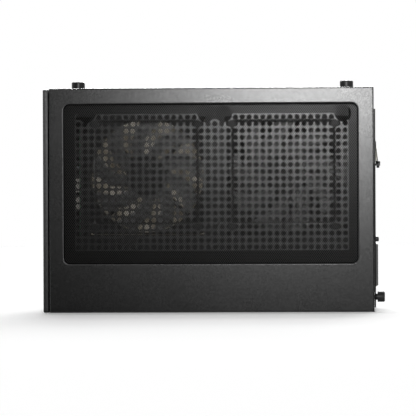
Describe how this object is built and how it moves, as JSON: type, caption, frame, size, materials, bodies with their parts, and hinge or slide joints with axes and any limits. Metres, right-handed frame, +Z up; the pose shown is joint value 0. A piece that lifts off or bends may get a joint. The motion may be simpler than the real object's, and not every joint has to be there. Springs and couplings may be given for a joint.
{
  "type": "computer case",
  "caption": "Compact black desktop computer case with mesh-windowed side panels, fans behind a perforated wall, lift-off top cover, front bezel and slide-out board tray.",
  "frame": {"origin": "middle of the overall box, on the table", "axes": "+Z up; -Y is the pictured side; -X the front bezel, +X the rear with the tray's back plate"},
  "size_m": [0.3482, 0.236, 0.2367],
  "materials": {
    "panel_coat": "fine-textured black powder coat",
    "chassis_coat": "fine-textured black powder coat",
    "filter_plastic": "matte black",
    "fan_plastic": "satin black",
    "socket_plastic": "matte black",
    "stud_steel": "bright zinc",
    "black_screw": "black oxide, satin",
    "bezel_anodised": "black anodised",
    "knob_black": "gloss black",
    "bare_steel": "plain, satin",
    "shield_grey": "dark grey, satin",
    "standoff_brass": "plain",
    "board_green": "lacquered",
    "light_clear": "clear",
    "light_plastic": "translucent white"
  },
  "bodies": {
    "chassis": {"base_pan": "chassis_coat", "front_wall": "chassis_coat", "rear_frame": "chassis_coat", "fan_wall": "chassis_coat", "far_wall": "chassis_coat", "top_frame": "chassis_coat", "tray_rails": "chassis_coat", "panel_sockets": "socket_plastic", "bezel_sockets": "socket_plastic", "cover_bushes": "stud_steel", "drive_plate": "chassis_coat", "front_fan_frame": "fan_plastic", "rear_fan_frame": "fan_plastic", "fan_screws": "black_screw", "button_switches": "socket_plastic", "status_light": "light_plastic", "usb_sockets": "bare_steel", "audio_sockets": "socket_plastic", "port_board": "board_green", "port_bracket": "chassis_coat"},
    "front_fan": {"front_fan_rotor": "fan_plastic"},
    "rear_fan": {"rear_fan_rotor": "fan_plastic"},
    "near_side": {"near_panel": "panel_coat", "near_filter_mesh": "filter_plastic", "near_filter_frame": "filter_plastic", "near_panel_studs": "stud_steel"},
    "far_side": {"far_panel": "panel_coat", "far_filter_mesh": "filter_plastic", "far_filter_frame": "filter_plastic", "far_panel_studs": "stud_steel"},
    "bezel": {"front_bezel": "bezel_anodised", "bezel_pins": "stud_steel", "light_pipe": "light_clear"},
    "power_key": {"power_button": "bezel_anodised"},
    "reset_key": {"reset_button": "bezel_anodised"},
    "lid": {"top_cover": "panel_coat", "cover_knobs": "knob_black"},
    "tray": {"board_tray": "chassis_coat", "board_standoffs": "standoff_brass", "back_plate": "chassis_coat", "io_shield": "shield_grey", "slot_covers": "chassis_coat", "slot_screws": "black_screw", "slot_hood": "bare_steel", "tray_thumbscrews": "black_screw", "back_plate_screws": "black_screw"}
  },
  "joints": [
    {"name": "near_panel_pull", "type": "slide", "parent": "chassis", "child": "near_side", "axis": [0, -1, 0], "range_m": [0, 0.06]},
    {"name": "far_panel_pull", "type": "slide", "parent": "chassis", "child": "far_side", "axis": [0, 1, 0], "range_m": [0, 0.06]},
    {"name": "top_cover_lift", "type": "slide", "parent": "chassis", "child": "lid", "axis": [0, 0, 1], "range_m": [0, 0.06]},
    {"name": "bezel_pull", "type": "slide", "parent": "chassis", "child": "bezel", "axis": [-1, 0, 0], "range_m": [0, 0.03]},
    {"name": "tray_slide", "type": "slide", "parent": "chassis", "child": "tray", "axis": [1, 0, 0], "range_m": [0, 0.19]},
    {"name": "front_fan_spin", "type": "hinge", "parent": "chassis", "child": "front_fan", "pos_m": [-0.0687, -0.0948, 0.14], "axis": [0, 1, 0], "continuous": true},
    {"name": "rear_fan_spin", "type": "hinge", "parent": "chassis", "child": "rear_fan", "pos_m": [0.0713, -0.0948, 0.14], "axis": [0, 1, 0], "continuous": true},
    {"name": "power_press", "type": "slide", "parent": "bezel", "child": "power_key", "axis": [1, 0, 0], "range_m": [0, 0.0012], "stiffness_N_per_m": 800},
    {"name": "reset_press", "type": "slide", "parent": "bezel", "child": "reset_key", "axis": [1, 0, 0], "range_m": [0, 0.0012], "stiffness_N_per_m": 800}
  ]
}
